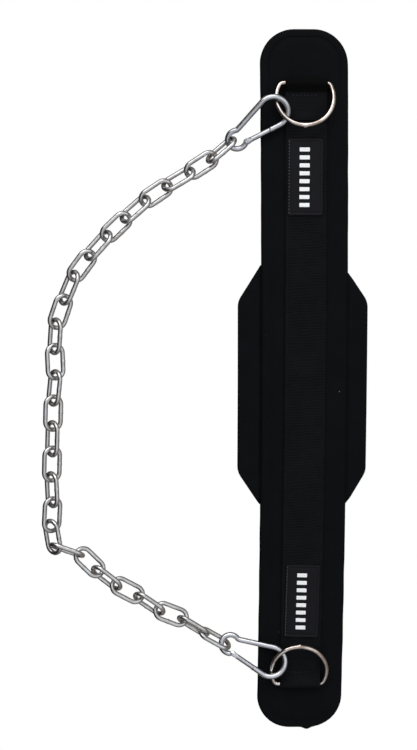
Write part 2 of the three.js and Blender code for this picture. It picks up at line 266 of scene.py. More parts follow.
def resample(points, step, closed):
    """Points at even steps along a path, and the path's length."""
    pts = [Vector(p) for p in points]
    if closed:
        pts.append(pts[0])
    lengths = [0.0]
    for a, b in zip(pts, pts[1:]):
        lengths.append(lengths[-1] + (b - a).length)
    total = lengths[-1]
    count = max(4, round(total / step))
    out = []
    k = 0
    for i in range(count + (0 if closed else 1)):
        d = total * i / count
        while k < len(lengths) - 2 and lengths[k + 1] < d:
            k += 1
        t = (d - lengths[k]) / max(1e-9, lengths[k + 1] - lengths[k])
        out.append(pts[k].lerp(pts[k + 1], min(1.0, t)))
    return out, total


def wire(points, radius, sides, closed, bump, start_shift=None, end_shift=None, dome=(True, True)):
    """A round wire along a path in its own plane. bump(i, count, angle) is added to the radius,
    a shift slants an end, and dome says which ends are rounded."""
    n = len(points)
    verts, rings = [], []
    for i, p in enumerate(points):
        a = points[(i - 1) % n] if closed else points[max(0, i - 1)]
        b = points[(i + 1) % n] if closed else points[min(n - 1, i + 1)]
        t = (b - a).normalized()
        normal = Vector((-t.y, t.x))
        rings.append((p, t, normal))
    for i, (p, t, normal) in enumerate(rings):
        for j in range(sides):
            angle = TAU * j / sides
            r = radius + bump(i, n, angle)
            across, up = r * math.cos(angle), r * math.sin(angle)
            q = p + normal * across
            if i == 0 and start_shift:
                q = q + t * start_shift(across)
            if i == n - 1 and end_shift:
                q = q + t * end_shift(across)
            verts.append((q.x, q.y, up))
    faces = tube_faces(n, sides, closed)
    if not closed:
        for end, (p, t, normal) in ((0, rings[0]), (1, rings[-1])):
            base = (n - 1) * sides if end else 0
            sign = 1 if end else -1
            if dome[end]:
                previous = list(range(base, base + sides))
                for share, out in ((0.86, 0.42), (0.5, 0.8)):
                    ring = []
                    for j in range(sides):
                        angle = TAU * j / sides
                        q = p + normal * (radius * share * math.cos(angle))
                        q = q + t * (sign * radius * 0.5 * out)
                        ring.append(len(verts))
                        verts.append((q.x, q.y, radius * share * math.sin(angle)))
                    for j in range(sides):
                        k = (j + 1) % sides
                        faces.append((previous[j], previous[k], ring[k], ring[j]))
                    previous = ring
                tip = p + t * (sign * radius * 0.45)
                verts.append((tip.x, tip.y, 0.0))
                for j in range(sides):
                    faces.append((previous[j], previous[(j + 1) % sides], len(verts) - 1))
            else:
                faces.append(tuple(range(base, base + sides)))
    return verts, faces


def merged(parts):
    """Several meshes as one list of points and faces."""
    verts, faces = [], []
    for v, f in parts:
        base = len(verts)
        verts.extend(v)
        faces.extend(tuple(i + base for i in face) for face in f)
    return verts, faces


# Materials
def new_material(name):
    material = bpy.data.materials.new(name)
    material.use_nodes = True
    tree = material.node_tree
    return material, tree, tree.nodes["Principled BSDF"]


def node(tree, kind, **values):
    """A new node, with its sockets and settings given by name."""
    n = tree.nodes.new(kind)
    for key, value in values.items():
        if key in n.inputs:
            n.inputs[key].default_value = value
        else:
            setattr(n, key, value)
    return n


def coordinates(tree):
    return tree.nodes.new("ShaderNodeTexCoord").outputs["Object"]


def ramp(tree, source, stops):
    """A colour ramp over a value, from its stops."""
    n = tree.nodes.new("ShaderNodeValToRGB")
    elements = n.color_ramp.elements
    while len(elements) < len(stops):
        elements.new(0.5)
    for e, (position, colour) in zip(elements, stops):
        e.position = position
        e.color = (*colour, 1.0)
    tree.links.new(source, n.inputs["Fac"])
    return n.outputs["Color"]


def math_node(tree, operation, a, b=None, c=None):
    n = tree.nodes.new("ShaderNodeMath")
    n.operation = operation
    for i, value in enumerate((a, b, c)):
        if value is None:
            continue
        if isinstance(value, (int, float)):
            n.inputs[i].default_value = value
        else:
            tree.links.new(value, n.inputs[i])
    return n.outputs[0]


def grey(value):
    return (value, value, value)


def bumped(tree, shader, height, strength, distance):
    n = node(tree, "ShaderNodeBump", Strength=strength, Distance=distance)
    tree.links.new(height, n.inputs["Height"])
    tree.links.new(n.outputs["Normal"], shader.inputs["Normal"])


def threads(tree, source, direction, thread, detail_scale):
    """One set of parallel threads, a thread wide in metres and a little uneven."""
    n = node(tree, "ShaderNodeTexWave", wave_type="BANDS", bands_direction=direction, wave_profile="SIN",
             Scale=TAU / (thread * 20), Distortion=0.6, Detail=1.0)
    n.inputs["Detail Scale"].default_value = detail_scale
    tree.links.new(source, n.inputs["Vector"])
    return n


def cloth(name, dark, light, thread, strength, specular, roughness=0.85):
    """Woven cloth: two sets of threads, with the colour and fuzz drifting slowly over it."""
    material, tree, shader = new_material(name)
    turn = coordinates(tree)
    warp = threads(tree, turn, "X", thread, 3.0)
    weft = threads(tree, turn, "Y", thread, 1.0)
    weave = math_node(tree, "MULTIPLY", warp.outputs["Fac"], weft.outputs["Fac"])
    cloud = node(tree, "ShaderNodeTexNoise", Scale=38.0, Detail=6.0, Roughness=0.62)
    tree.links.new(turn, cloud.inputs["Vector"])
    fuzz = node(tree, "ShaderNodeTexNoise", Scale=900.0, Detail=2.0, Roughness=0.6)
    tree.links.new(turn, fuzz.inputs["Vector"])
    mixed = math_node(tree, "ADD", math_node(tree, "MULTIPLY", weave, 0.35),
                      math_node(tree, "MULTIPLY", cloud.outputs["Fac"], 0.65))
    mixed = math_node(tree, "ADD", mixed, math_node(tree, "MULTIPLY", fuzz.outputs["Fac"], 0.15))
    colour = ramp(tree, mixed, [(0.3, dark), (0.8, light)])
    tree.links.new(colour, shader.inputs["Base Color"])
    rough = ramp(tree, cloud.outputs["Fac"], [(0.3, grey(roughness - 0.08)), (0.7, grey(roughness + 0.08))])
    tree.links.new(rough, shader.inputs["Roughness"])
    height = math_node(tree, "ADD", weave, math_node(tree, "MULTIPLY", fuzz.outputs["Fac"], 0.6))
    bumped(tree, shader, height, strength, thread * 0.3)
    shader.inputs["Specular IOR Level"].default_value = specular
    return material


def metal(name, base, patch, tint, rough_low, rough_high, scratch):
    """Plated wire: slow patches of tone, a fine grain and small pits."""
    material, tree, shader = new_material(name)
    turn = coordinates(tree)
    cloud = node(tree, "ShaderNodeTexNoise", Scale=95.0, Detail=5.0, Roughness=0.6)
    fine = node(tree, "ShaderNodeTexNoise", Scale=900.0, Detail=3.0, Roughness=0.7)
    pits = node(tree, "ShaderNodeTexVoronoi", Scale=420.0)
    for n in (cloud, fine, pits):
        tree.links.new(turn, n.inputs["Vector"])
    stops = [(0.32, patch), (0.55, base), (0.8, tint)]
    tree.links.new(ramp(tree, cloud.outputs["Fac"], stops), shader.inputs["Base Color"])
    rough = ramp(tree, cloud.outputs["Fac"], [(0.3, grey(rough_high)), (0.7, grey(rough_low))])
    tree.links.new(rough, shader.inputs["Roughness"])
    pit = ramp(tree, pits.outputs["Distance"], [(0.05, grey(0)), (0.3, grey(1))])
    height = math_node(tree, "ADD", math_node(tree, "MULTIPLY", fine.outputs["Fac"], 0.5),
                       math_node(tree, "MULTIPLY", pit, 0.5))
    bumped(tree, shader, height, scratch, 0.00012)
    shader.inputs["Metallic"].default_value = 1.0
    return material


# Each cloth: its dark and light tone, a thread's width, the bump's strength and the gloss
band_cloth = cloth("band_cloth", (0.0026, 0.0028, 0.0035), (0.0061, 0.0066, 0.0083), 0.0007, 0.35, 0.06)
wing_cloth = cloth("wing_cloth", (0.0026, 0.0028, 0.0035), (0.0062, 0.0067, 0.0084), 0.0007, 0.4, 0.06)
tape_cloth = cloth("tape_cloth", (0.0025, 0.0027, 0.0034), (0.0090, 0.0094, 0.0113), 0.0011, 0.5, 0.08)
# Painted shade: the darker, browner cloth for the fold round the upper D-ring's bar and the shadow under it
painted_shade_loop_cloth = cloth("painted_shade_loop_cloth", (0.0014, 0.0012, 0.0013), (0.0044, 0.0040, 0.0044), 0.0011, 0.5, 0.06)
# Painted highlight: the selvedge thread, paler than the tape where light from the left catches the strap's
# left edge
selvedge_highlight_cloth = cloth("selvedge_highlight_cloth", (0.009, 0.0095, 0.011), (0.018, 0.019, 0.022), 0.0003, 0.3, 0.15)
label_cloth = cloth("label_cloth", (0.0055, 0.0053, 0.0073), (0.0105, 0.0103, 0.0140), 0.0005, 0.3, 0.10,
                    roughness=0.6)
thread_cloth = cloth("thread_cloth", (0.020, 0.020, 0.024), (0.040, 0.040, 0.048), 0.0003, 0.3, 0.2,
                     roughness=0.6)
# Painted highlight: the thread of a patch's left edge, paler than the other three where light from the left
# falls on it
left_thread_highlight = cloth("left_thread_highlight", (0.10, 0.10, 0.115), (0.20, 0.20, 0.22), 0.0003, 0.3, 0.3, roughness=0.6)
white_weave = cloth("white_weave", (0.93, 0.93, 0.93), (0.98, 0.98, 0.98), 0.0005, 0.3, 0.3, roughness=0.7)
lint_cloth = cloth("lint_cloth", (0.10, 0.10, 0.11), (0.22, 0.22, 0.24), 0.0003, 0.3, 0.2)

# Each metal: its main, dull and bright tone, its least and greatest roughness and the bump's strength
nickel = metal("nickel", (0.60, 0.53, 0.49), (0.34, 0.26, 0.22), (0.72, 0.69, 0.68), 0.08, 0.17, 0.04)
zinc_hook = metal("zinc_hook", (0.54, 0.55, 0.575), (0.43, 0.43, 0.455), (0.64, 0.65, 0.675),
                  0.24, 0.36, 0.08)
zinc_chain = metal("zinc_chain", (0.55, 0.55, 0.555), (0.43, 0.42, 0.41), (0.64, 0.65, 0.66),
                   0.24, 0.36, 0.08)


# Band
def band_ring(inset):
    """The band's outline in plan, drawn in by an inset and bent to the belt's slight bow."""
    straight, corner = 150, 14
    w = BAND_WIDTH / 2 - inset
    h = BELT_LENGTH / 2 - inset
    r = max(0.3, min(max(END_RADIUS - inset, 3.0), w - 0.2))
    points = line((w, -h + r), (w, h - r), straight)[:-1]
    points += arc(w - r, h - r, r, 0, 90, corner)[:-1]
    points += line((w - r, h), (-w + r, h), 8)[:-1]
    points += arc(-w + r, h - r, r, 90, 180, corner)[:-1]
    points += line((-w, h - r), (-w, -h + r), straight)[:-1]
    points += arc(-w + r, -h + r, r, 180, 270, corner)[:-1]
    points += line((-w + r, -h), (w - r, -h), 8)[:-1]
    points += arc(w - r, -h + r, r, 270, 360, corner)[:-1]
    return [(x + bow_x(y), y) for x, y in points]


def soft(x, y, size, amount, seed):
    """A slow wave over the cloth, of a size and an amount."""
    return amount * noise.noise(Vector((x / size + seed, y / size, seed)))


def panel_height(x, y, inset):
    """The padded panel: full between its edge and the strap, pressed down under the strap."""
    from_strap = abs(x - web_x(y)) - WEB_WIDTH / 2
    crown = 0.9 * smooth_step(9.0, 19.0, inset)
    beyond = abs(y) - STRAP_END
    pressed = 0.16 + 0.75 * smooth_step(0.0, 9.0, from_strap)
    if beyond > 0:
        pressed += 0.75 * smooth_step(0.0, 12.0, beyond)
    return PAD_THICKNESS + min(crown, pressed) - 0.02


def end_lump(x, y):
    """The binding's ends overlap in a small lump at the belt's lower end."""
    if y >= -BELT_LENGTH / 2 + 14:
        return 0.0
    return LUMP_REACH * math.exp(-((x - LUMP_PLACE) / LUMP_WIDTH) ** 2)


def band_side():
    """The band's rolled edge, as inset and height, from underneath to the top."""
    angles = [math.radians(a) for a in range(-90, 91, 15)]
    return [(ROLL_RADIUS * (1 - math.cos(a)), ROLL_HALF_HEIGHT * (1 + math.sin(a))) for a in angles]


def rim_height(inset, y):
    """The flat rim, its seam and the step up to the panel. The seam is deep at the top end only."""
    depth = 0.08 + 0.9 * smooth_step(SEAM_FADES, SEAM_DEEP, y)
    seam = depth * math.exp(-((inset - SEAM_INSET) / 0.9) ** 2)
    return RIM_TOP + RIM_STEP * smooth_step(7.0, FLAT_WIDTH, inset) - seam


RIM_INSETS = [5.2, 6.4, 7.4, 8.2, 8.7, 9.1, 9.5, 9.9, 10.4, 11.0, 11.8, 12.8]
PANEL_INSETS = [14.0, 16.0, 18.0, 20.0, 22.0, 23.5, 25.0, 26.5, 29.0, 34.0, 40.0, 46.0, 49.2]


def band_point(x, y, inset, height):
    """One point of the band's skin, with the cloth's slow waves and small puckers."""
    slow = soft(x, y, SKIN_WAVE_SIZE, SKIN_WAVE, 1.0)
    if height is not None:
        h = height + slow * smooth_step(4.0, 8.0, height)
    elif inset < FLAT_WIDTH:
        near = 1 - abs(inset - SEAM_INSET) / 4.2
        h = rim_height(inset, y) + soft(x, y, 7.5, 0.16, 5.0) * near + slow
    else:
        h = panel_height(x, y, inset)
        under_strap = abs(x - web_x(y)) < WEB_WIDTH / 2 + 1.0 and abs(y) < STRAP_END + 1.0
        if not under_strap:
            h += soft(x, y, 34, 0.30, 3.0) + soft(x, y, 9, 0.10, 8.0)
    outer = 1 - smooth_step(0.0, 8.0, inset)
    wave = soft(x, y, 26, 0.35, 2.0) * outer * (1 if x > 0 else -1)
    return x + wave, y - end_lump(x, y) * outer, max(0.0, h)


def band_mesh():
    """The band as rings from under its rolled edge up and in to its middle, closed by a flat underside."""
    rings, verts = [], []
    sections = band_side() + [(t, None) for t in RIM_INSETS + PANEL_INSETS]
    for inset, height in sections:
        ring = []
        for x, y in band_ring(inset):
            ring.append(len(verts))
            verts.append(band_point(x, y, inset, height))
        rings.append(ring)
    n = len(rings[0])
    faces = tube_faces(len(rings), n)
    faces.append(tuple(rings[-1]))
    under = []
    for x, y in band_ring(20.0):
        under.append(len(verts))
        verts.append((x, y, 0.0))
    for j in range(n):
        k = (j + 1) % n
        faces.append((rings[0][k], rings[0][j], under[j], under[k]))
    faces.append(tuple(reversed(under)))
    return verts, faces


def add_band():
    band = make("band_pad", *band_mesh(), band_cloth, "band_cloth")
    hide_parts("belt_band")


add_band()


# Wings
def wing_reach(y, reach, up, down):
    """How far the wing reaches out at a place along the belt."""
    run = (up if y > 0 else down) - WING_OUTER
    turn = math.atan2(reach, run)
    cy = WING_OUTER - WING_CORNER * math.tan(turn / 2)
    y = abs(y)
    if y <= cy:
        return reach
    if y <= cy + WING_CORNER * math.sin(turn):
        return reach - WING_CORNER + math.sqrt(max(0.0, WING_CORNER ** 2 - (y - cy) ** 2))
    return reach * (WING_OUTER + run - y) / run


def wing_mesh(sign, reach, up, down):
    """A wing's pad. Its inner edge runs on under the band's rolled edge, so that the seam is closed."""
    count, section, tuck = 170, 44, 1.6
    seam_depth, seam_run = (3.2, 3.0) if sign < 0 else (0.8, 1.6)
    verts = []
    for i in range(count + 1):
        y = -down + 0.4 + (up + down - 0.8) * i / count
        reached = max(0.3, wing_reach(y, reach, up, down))
        tall = WING_THICKNESS * smooth_step(-2.0, 6.0, reached)
        w = reached + tuck
        for j in range(section):
            c, s = math.cos(TAU * j / section), math.sin(TAU * j / section)
            u = math.copysign(abs(c) ** 0.38, c)
            v = math.copysign(abs(s) ** 0.38, s)
            x = BAND_WIDTH / 2 + WING_GAP - tuck + w * (u + 1) / 2
            z = tall / 2 * (1 + v)
            if v > 0:
                into_seam = 1 - smooth_step(0.0, seam_run, x - BAND_WIDTH / 2)
                crown = 0.45 * math.sin(math.pi * (u + 1) / 2)
                z += v * (soft(x * sign, y, 30, 0.35, 12.0) + crown - seam_depth * into_seam)
            verts.append((sign * x + bow_x(y), y, max(0.0, z)))
    faces = tube_faces(count + 1, section)
    faces.append(tuple(range(section)))
    faces.append(tuple(range(count * section, (count + 1) * section)))
    return verts, faces


def add_wing(side, sign):
    wing = make(f"wing_pad_{side}", *wing_mesh(sign, *WING_RUNS[side]), wing_cloth, "band_cloth")
    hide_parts(f"wing_{side}")


add_wing("left", -1)
add_wing("right", 1)


# Webbing
def strap_end(name, end):
    """One end of the strap's middle line in y and z: its lap, its fold round the bar and its root."""
    y0 = BAR_Y[name]
    half = WEB_THICKNESS / 2
    centre = BAR_CLEAR + half
    lap = [(y0 - end * LAP_LENGTH, LAP_TOP - half), (y0 - end * (TIP_REACH - 2.0), LAP_TOP - half - 0.1)]
    fold = []
    for degrees in range(134, -91, -8):
        a = math.radians(degrees)
        fold.append((y0 + end * centre * math.cos(a), BAR_HEIGHT + centre * math.sin(a)))
    return lap + fold + [(y0 - end * 9.0, WEB_BASE + half)]


def strap_path():
    """Stations along the strap from one lap's end to the other: y, z, the outward direction and how far."""
    whole = strap_end("top", 1) + list(reversed(strap_end("bottom", -1)))
    points, total = resample(rounded(whole, 4.0, 6), 0.62, False)
    out = []
    n = len(points)
    for i, p in enumerate(points):
        a, b = points[max(0, i - 3)], points[min(n - 1, i + 3)]
        t = (b - a).normalized()
        out.append((p.x, p.y, Vector((-t.y, t.x)), total * i / (n - 1)))
    return out


def rib(u, s):
    """The tape's crosswise ribs: round backs with narrow furrows between them, a little wavy."""
    phase = (s + 1.6 * u) / RIB_PITCH + 0.45 * noise.noise(Vector((u * 1.6, s / 16, 4.0)))
    wave = abs(math.sin(math.pi * phase)) ** 0.6
    depth = 0.8 + 0.6 * noise.noise(Vector((u * 2.5, s / 9, 9.0)))
    return depth * (wave - RIB_LEVEL) * (1 - smooth_step(0.93, 0.99, abs(u)))


def strap_mesh():
    """The strap's section, ribbed on top, carried along its path."""
    half = WEB_THICKNESS / 2
    wide = WEB_WIDTH / 2
    top = [-1 + 2 * j / 30 for j in range(31)]
    verts = []
    for y, z, out, s in strap_path():
        flat = abs(out.y) > 0.9
        edge = 0.6 * soft(0.0, s, 18, 0.25, 21.0)
        row = []
        for u in top:
            lip = -0.5 * smooth_step(0.95, 1.0, abs(u))
            row.append((u * (wide + edge), half + rib(u, s) + lip))
        row += [(wide + edge + 0.12, 0.35), (wide + edge + 0.05, -0.5)]
        row += [(u * wide, -half + (0.06 if flat else 0.0)) for u in (0.97, 0.4, -0.4, -0.97)]
        row += [(-wide - edge - 0.05, -0.5), (-wide - edge - 0.12, 0.35)]
        columns = len(row)
        for across, lift in row:
            verts.append((web_x(y) + across, y - out.x * lift, z - out.y * lift))
    rows = len(verts) // columns
    faces = tube_faces(rows, columns)
    faces.append(tuple(range(columns)))
    faces.append(tuple(range((rows - 1) * columns, rows * columns)))
    return verts, faces


def add_strap():
    """The strap. Its roll round the upper D-ring's bar and the recess under it carry painted shade: a
    darker cloth than the rest, with a browner tone.
    """
    strap = make("strap_webbing", *strap_mesh(), tape_cloth, "webbing_tape")
    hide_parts("webbing")
    strap.data.materials.append(painted_shade_loop_cloth)
    for polygon in strap.data.polygons:
        # Painted shade: faces of the roll and the recess under it, out to this reach from the bar, take the
        # darker cloth
        if polygon.center.y * 1000 > BAR_Y["top"] - ROLL_SHADE_REACH:
            polygon.material_index = 1


add_strap()


# Stitches
# A stitch's sections: how far along, how thick and how high, as shares of its length, width and height
STITCH_SECTIONS = [
    (-0.5, 0.25, -0.5), (-0.32, 0.85, 0.1), (0.0, 1.0, 0.35), (0.32, 0.85, 0.1), (0.5, 0.25, -0.5),
]
STITCH_SIDES = 6


def stitch(p, along, length, width, height):
    """One stitch: a short thread whose ends dip into the cloth."""
    sides = STITCH_SIDES
    along, up = along.normalized(), Vector((0, 0, 1))
    across = along.cross(up)
    verts = []
    for a, r, lift in STITCH_SECTIONS:
        for j in range(sides):
            g = TAU * j / sides
            sideways = r * width / 2 * math.cos(g)
            lifted = height * lift + r * height / 2 * math.sin(g)
            verts.append(tuple(p + along * (a * length) + across * sideways + up * lifted))
    count = len(verts)
    faces = tube_faces(count // sides, sides)
    faces.append(tuple(range(sides)))
    faces.append(tuple(range(count - sides, count)))
    return verts, faces


def stitch_row(points, pitch, length, width, height, jitter=0.06):
    """Stitches set along a path of 3-D points."""
    pts = resample(points, pitch, False)[0]
    parts = []
    for a, b in zip(pts, pts[1:]):
        middle = (a + b) / 2 + Vector((random.uniform(-jitter, jitter), random.uniform(-jitter, jitter), 0))
        parts.append(stitch(middle, b - a, length, width, height))
    return parts


def edge_stitches():
    """The selvedge's dashes, on the strap's left edge only, paler than the tape as a painted highlight
    where light from the left catches them.
    """
    low, high = BAR_Y["bottom"] + LAP_LENGTH + 4, BAR_Y["top"] - LAP_LENGTH - 4
    stations = [low + (high - low) * i / 60 for i in range(61)]
    path = [(web_x(y) - WEB_WIDTH / 2 + 2.3, y, WEB_TOP + 0.12) for y in stations]
    return merged(stitch_row(path, pitch=2.6, length=1.5, width=0.6, height=0.4))


def loop_stitches(name, end):
    """Four rows across the lap. The first, beside the D-ring's bar, is the plainest."""
    y0 = BAR_Y[name]
    first, last = y0 - end * (TIP_REACH + 1.8), y0 - end * (LAP_LENGTH - 3)
    left, right, z = web_x(y0) - 16.5, web_x(y0) + 12.5, LAP_TOP + 0.22
    row = [(left, first, z), (right, first, z)]
    plain = stitch_row(row, pitch=4.0, length=1.6, width=1.0, height=0.6, jitter=0.35)
    others = []
    for i in (1, 2, 3):
        y = first + (last - first) * i / 3
        row = [(left, y, z - 0.15), (right, y, z - 0.15)]
        others += stitch_row(row, pitch=3.3, length=2.2, width=0.7, height=0.4)
    return plain, others


def rim_stitches():
    """The stitches of the rim's seam, round the belt's upper end."""
    seam = [(x, y, rim_height(SEAM_INSET, y) + 0.12) for x, y in band_ring(SEAM_INSET) if y > 330]
    return merged(stitch_row(seam, pitch=4.2, length=2.7, width=0.7, height=0.5))


def add_belt_stitches():
    make("strap_edge_stitches", *edge_stitches(), selvedge_highlight_cloth, "webbing_tape")
    top_plain, top_faint = loop_stitches("top", 1)
    bottom_plain, bottom_faint = loop_stitches("bottom", -1)
    make("loop_stitches_plain", *merged(top_plain + bottom_plain), thread_cloth, "webbing_tape")
    make("loop_stitches_faint", *merged(top_faint + bottom_faint), tape_cloth, "webbing_tape")
    make("rim_stitches", *rim_stitches(), band_cloth, "band_cloth")


add_belt_stitches()


# Labels
# A patch's section from its edge inwards: the inset, and the height as a share of its thickness
LABEL_SECTION = [
    (0.0, 0.0), (0.0, 0.55), (0.45, 0.92), (1.2, 1.0), (2.3, 0.96), (2.9, 0.62),
    (3.4, 0.58), (4.0, 0.8), (5.5, 0.9), (9.0, 0.95), (14.0, 0.97), (19.0, 0.97),
]


def label_mesh():
    """A folded-edge patch: a raised border, a groove inside it and a slightly puffed field."""
    verts, rings = [], []
    for t, share in LABEL_SECTION:
        z = LABEL_THICKNESS * share
        w, h = LABEL_WIDTH / 2 - t, LABEL_LENGTH / 2 - t
        r = max(0.2, min(1.5, w, 1.5 - t * 0.5 if t < 2 else 0.6))
        ring = arc(w - r, h - r, r, 0, 90, 4) + line((w - r, h), (-w + r, h), 10)[1:-1]
        ring += arc(-w + r, h - r, r, 90, 180, 4) + line((-w, h - r), (-w, -h + r), 40)[1:-1]
        ring += arc(-w + r, -h + r, r, 180, 270, 4) + line((-w + r, -h), (w - r, -h), 10)[1:-1]
        ring += arc(w - r, -h + r, r, 270, 360, 4) + line((w, -h + r), (w, h - r), 40)[1:-1]
        row = []
        for x, y in ring:
            lift = soft(x, y, 16, 0.16, 31.0) * smooth_step(3.5, 8.0, t)
            lift += soft(x, y, 5, 0.05, 37.0) * smooth_step(0.3, 1.0, t)
            row.append(len(verts))
            verts.append((x, y, max(0.0, z + lift if z > 0 else 0.0)))
        rings.append(row)
    n = len(rings[0])
    faces = tube_faces(len(rings), n)
    faces.append(tuple(rings[-1]))
    faces.append(tuple(reversed(rings[0])))
    return verts, faces


def bar_mesh(cx, cy, z):
    """One plain woven bar: a thin plate with rounded corners and a soft edge."""
    thick = MARK_THICKNESS
    verts, rings = [], []
    for inset, height in ((0.0, 0.0), (0.0, thick * 0.6), (0.22, thick), (1.2, thick * 1.05)):
        w, h = MARK_WIDTH / 2 - inset, MARK_TALL / 2 - inset
        r = max(0.1, 0.5 - inset * 0.3)
        ring = arc(w - r, h - r, r, 0, 90, 3) + arc(-w + r, h - r, r, 90, 180, 3)
        ring += arc(-w + r, -h + r, r, 180, 270, 3) + arc(w - r, -h + r, r, 270, 360, 3)
        row = []
        for x, y in ring:
            row.append(len(verts))
            verts.append((cx + x, cy + y, z + height))
        rings.append(row)
    faces = tube_faces(len(rings), len(rings[0]))
    faces.append(tuple(rings[-1]))
    faces.append(tuple(reversed(rings[0])))
    return verts, faces


def label_stitches():
    """The stitches along a patch's left edge, paler as a painted highlight where light from the left falls
    on them, and along its other three.
    """
    w, h = LABEL_WIDTH / 2 - LABEL_STITCH_INSET, LABEL_LENGTH / 2 - LABEL_STITCH_INSET
    z = LABEL_STITCH_HEIGHT
    left = stitch_row([(-w, h, z), (-w, -h, z)], pitch=3.6, length=1.7, width=0.7, height=0.45)
    others = []
    for a, b in (((-w, h, z), (w, h, z)), ((w, h, z), (w, -h, z)), ((-w, -h, z), (w, -h, z))):
        others += stitch_row([a, b], pitch=3.6, length=1.7, width=0.6, height=0.35)
    return left, others


def add_label(name):
    """A sewn patch, its eight plain white bars and its stitches."""
    where = LABEL_PLACES[name]

    def on_patch(piece, mesh, material):
        return make(piece, place(mesh[0], where), mesh[1], material, "label_cloth")

    patch = on_patch(f"patch_{name}", label_mesh(), label_cloth)
    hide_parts(f"label_{name}")
    bars = [bar_mesh(-1.0, MARK_START - MARK_PITCH * i, 1.22) for i in range(MARK_COUNT)]
    on_patch(f"patch_bars_{name}", merged(bars), white_weave)
    left, others = label_stitches()
    # The left edge's stitches take the paler thread as a painted highlight
    on_patch(f"patch_left_stitches_{name}", merged(left), left_thread_highlight)
    on_patch(f"patch_stitches_{name}", merged(others), thread_cloth)


add_label("top")
add_label("bottom")


# D-rings
def ring_path():
    """A D-ring's middle line: the straight bar, two corners and the round."""
    depth = RING_DEPTH - RING_RADIUS
    bar_half = math.sqrt((RING_RADIUS - RING_CORNER) ** 2 - (depth - RING_CORNER) ** 2)
    turn = math.degrees(math.atan2(RING_CORNER - depth, bar_half))
    points = line((-bar_half, 0), (bar_half, 0), 12)
    points += arc(bar_half, RING_CORNER, RING_CORNER, -90, turn, 8)[1:]
    points += arc(0, depth, RING_RADIUS, turn, 180 - turn, 80)[1:]
    points += arc(-bar_half, RING_CORNER, RING_CORNER, 180 - turn, 270, 8)[1:-1]
    return resample(points, 1.6, True)[0]


def ring_bump(points):
    """The weld midway round the D-ring, thicker on its outer side."""
    def bump(i, n, angle):
        p = points[i]
        near = math.exp(-((p.x - 0.5) / 2.2) ** 2) if p.y > RING_DEPTH * 0.7 else 0.0
        outer = max(0.0, -math.cos(angle))
        return near * (0.16 + 0.75 * outer)
    return bump


def add_ring(name):
    points = ring_path()
    verts, faces = wire(points, RING_WIRE / 2, 28, True, bump=ring_bump(points))
    ring = make(f"ring_{name}", place(verts, SETTLED[name]["ring"]), faces, nickel, "nickel_wire")
    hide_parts(f"d_ring_{name}")


add_ring("top")
add_ring("bottom")


# Snap hooks. The gate's pin, and the straight flank that runs from it to the bow and touches it
PIVOT = Vector((HOOK_EYE * math.cos(HOOK_NECK), -HOOK_EYE * math.sin(HOOK_NECK)))
REACH = Vector((HOOK_REACH - PIVOT.x, PIVOT.y))
FLANK_ANGLE = math.asin(HOOK_BOW / REACH.length) - math.atan2(-REACH.y, REACH.x)
FLANK_LENGTH = math.sqrt(REACH.length_squared - HOOK_BOW ** 2)
FLANK_END = (
    PIVOT.x + FLANK_LENGTH * math.cos(FLANK_ANGLE),
    -PIVOT.y + FLANK_LENGTH * math.sin(FLANK_ANGLE),
)
BOW_TURN = math.degrees(math.atan2(FLANK_END[1], FLANK_END[0] - HOOK_REACH))


def on_gate(verts):
    """Points of the gate's own frame, from its pin along its wire, in the hook's frame."""
    c, s = math.cos(-FLANK_ANGLE), math.sin(-FLANK_ANGLE)
    return [(PIVOT.x + x * c - y * s, PIVOT.y + x * s + y * c, z) for x, y, z in verts]


def plate(outline, low, high, edge=0.25):
    """A flat plate with eased edges, from an outline in its own plane."""
    n = len(outline)
    centre = Vector((sum(p[0] for p in outline) / n, sum(p[1] for p in outline) / n))
    verts = []
    for inset, z in ((edge, low), (0.0, low + edge), (0.0, high - edge), (edge, high)):
        for x, y in outline:
            d = Vector((x, y)) - centre
            q = centre + d * (1 - inset / max(d.length, 0.5))
            verts.append((q.x, q.y, z))
    faces = tube_faces(4, n)
    faces.append(tuple(range(n)))
    faces.append(tuple(range(3 * n, 4 * n)))
    return verts, faces


def disc(radius, count):
    """A round outline about the gate's pin."""
    return [(radius * math.cos(TAU * j / count), radius * math.sin(TAU * j / count)) for j in range(count)]


def hook_mesh():
    """The hook's bent wire from its slanted nose round the bow and the eye, and the tongue in the gate."""
    nose = (PIVOT.x + GATE_LENGTH * math.cos(FLANK_ANGLE), PIVOT.y - GATE_LENGTH * math.sin(FLANK_ANGLE))
    bow = arc(HOOK_REACH, 0, HOOK_BOW, -BOW_TURN, BOW_TURN, 48)
    neck = (PIVOT.x, -PIVOT.y)
    eye = arc(0, 0, HOOK_EYE, math.degrees(HOOK_NECK), 360 - math.degrees(HOOK_NECK) - 14, 40)
    path = [nose] + bow + [neck] + eye[1:]
    points = resample(rounded(path, 3.4, 8), 1.1, False)[0]
    r = HOOK_WIRE / 2

    def bump(i, n, angle):
        return 0.05 * noise.noise(Vector((i * 0.22, math.cos(angle), math.sin(angle))))

    def slant(across):
        return GATE_LAP * across / r

    body = wire(points, r, 24, False, bump=bump, start_shift=slant, dome=(False, True))
    verts, faces = plate(disc(CHEEK_RADIUS, 24), -1.3, 1.3, 0.3)
    return merged([body, (on_gate(verts), faces)])


